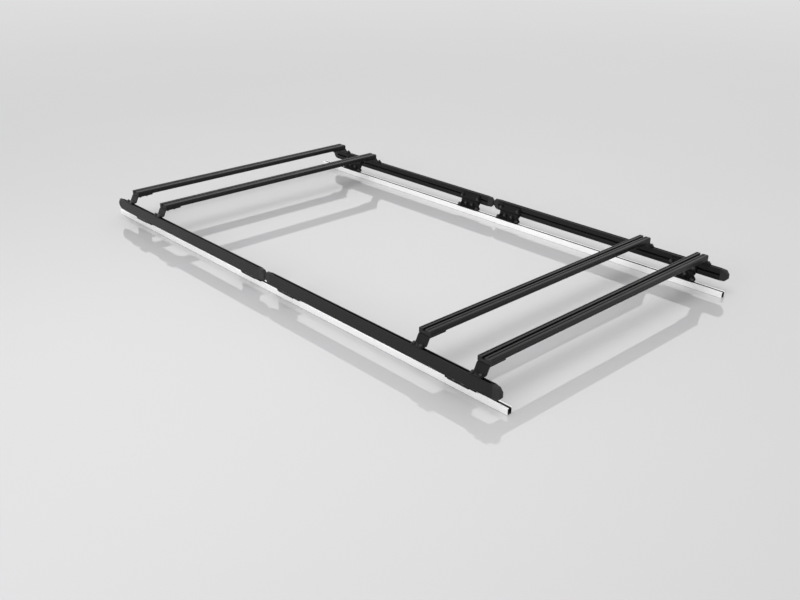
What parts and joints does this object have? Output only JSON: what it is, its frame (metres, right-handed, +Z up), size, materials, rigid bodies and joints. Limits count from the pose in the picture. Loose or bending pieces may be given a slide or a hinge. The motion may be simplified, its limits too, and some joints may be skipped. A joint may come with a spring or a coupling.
{
  "type": "ladder rack",
  "caption": "Low roof rack for a truck canopy: slotted crossbars bracketed to split side rails, bolted by feet into two roof tracks.",
  "frame": {"origin": "middle of the rack's footprint, on the underside of the roof tracks", "axes": "+X towards the vehicle's front along the tracks, +Y to its left, +Z up"},
  "size_m": [2.49, 1.334, 0.151],
  "materials": {
    "clear_anodised_track": "clear anodised aluminium extrusion, fine lengthwise draw lines",
    "black_coated_extrusion": "satin black powder coat on aluminium extrusion",
    "black_coated_plate": "satin black powder coat on bent and cut plate",
    "black_moulded_plastic": "matt black moulded nylon with fine spark texture",
    "zinc_steel_fastener": "steel hammer-head and countersunk bolts, washers and nuts under dark zinc plating"
  },
  "bodies": {
    "roof_tracks": {"track_left": "clear_anodised_track", "track_right": "clear_anodised_track"},
    "front_frame": {"front_foot_clamp_bolts": "zinc_steel_fastener", "front_foot_to_rail_bolts": "zinc_steel_fastener", "front_foot_to_track_bolts": "zinc_steel_fastener", "front_rail_left": "black_coated_extrusion", "front_rail_left_front_cap": "black_moulded_plastic", "front_rail_left_front_foot_base": "black_coated_plate", "front_rail_left_front_foot_plate": "black_coated_plate", "front_rail_left_rear_cap": "black_moulded_plastic", "front_rail_left_rear_foot_base": "black_coated_plate", "front_rail_left_rear_foot_plate": "black_coated_plate", "front_rail_right": "black_coated_extrusion", "front_rail_right_front_cap": "black_moulded_plastic", "front_rail_right_front_foot_base": "black_coated_plate", "front_rail_right_front_foot_plate": "black_coated_plate", "front_rail_right_rear_cap": "black_moulded_plastic", "front_rail_right_rear_foot_base": "black_coated_plate", "front_rail_right_rear_foot_plate": "black_coated_plate"},
    "rear_frame": {"rear_foot_clamp_bolts": "zinc_steel_fastener", "rear_foot_to_rail_bolts": "zinc_steel_fastener", "rear_foot_to_track_bolts": "zinc_steel_fastener", "rear_rail_left": "black_coated_extrusion", "rear_rail_left_front_cap": "black_moulded_plastic", "rear_rail_left_front_foot_base": "black_coated_plate", "rear_rail_left_front_foot_plate": "black_coated_plate", "rear_rail_left_rear_cap": "black_moulded_plastic", "rear_rail_left_rear_foot_base": "black_coated_plate", "rear_rail_left_rear_foot_plate": "black_coated_plate", "rear_rail_right": "black_coated_extrusion", "rear_rail_right_front_cap": "black_moulded_plastic", "rear_rail_right_front_foot_base": "black_coated_plate", "rear_rail_right_front_foot_plate": "black_coated_plate", "rear_rail_right_rear_cap": "black_moulded_plastic", "rear_rail_right_rear_foot_base": "black_coated_plate", "rear_rail_right_rear_foot_plate": "black_coated_plate"},
    "bar_1": {"crossbar_1": "black_coated_extrusion", "crossbar_1_bracket_left": "black_coated_plate", "crossbar_1_bracket_right": "black_coated_plate", "crossbar_1_end_caps": "black_moulded_plastic", "crossbar_1_to_bracket_bolts": "zinc_steel_fastener", "crossbar_1_to_rail_bolts": "zinc_steel_fastener"},
    "bar_2": {"crossbar_2": "black_coated_extrusion", "crossbar_2_bracket_left": "black_coated_plate", "crossbar_2_bracket_right": "black_coated_plate", "crossbar_2_end_caps": "black_moulded_plastic", "crossbar_2_to_bracket_bolts": "zinc_steel_fastener", "crossbar_2_to_rail_bolts": "zinc_steel_fastener"},
    "bar_3": {"crossbar_3": "black_coated_extrusion", "crossbar_3_bracket_left": "black_coated_plate", "crossbar_3_bracket_right": "black_coated_plate", "crossbar_3_end_caps": "black_moulded_plastic", "crossbar_3_to_bracket_bolts": "zinc_steel_fastener", "crossbar_3_to_rail_bolts": "zinc_steel_fastener"},
    "bar_4": {"crossbar_4": "black_coated_extrusion", "crossbar_4_bracket_left": "black_coated_plate", "crossbar_4_bracket_right": "black_coated_plate", "crossbar_4_end_caps": "black_moulded_plastic", "crossbar_4_to_bracket_bolts": "zinc_steel_fastener", "crossbar_4_to_rail_bolts": "zinc_steel_fastener"}
  },
  "joints": [
    {"name": "front_frame_slide", "type": "slide", "parent": "roof_tracks", "child": "front_frame", "axis": [1, 0, 0], "range_m": [0, 0.16]},
    {"name": "rear_frame_slide", "type": "slide", "parent": "roof_tracks", "child": "rear_frame", "axis": [1, 0, 0], "range_m": [-0.12, 0]},
    {"name": "bar_1_slide", "type": "slide", "parent": "front_frame", "child": "bar_1", "axis": [1, 0, 0], "range_m": [-0.1, 0.03]},
    {"name": "bar_2_slide", "type": "slide", "parent": "front_frame", "child": "bar_2", "axis": [1, 0, 0], "range_m": [-0.76, 0.1]},
    {"name": "bar_3_slide", "type": "slide", "parent": "rear_frame", "child": "bar_3", "axis": [1, 0, 0], "range_m": [-0.1, 0.75]},
    {"name": "bar_4_slide", "type": "slide", "parent": "rear_frame", "child": "bar_4", "axis": [1, 0, 0], "range_m": [-0.03, 0.1]}
  ]
}
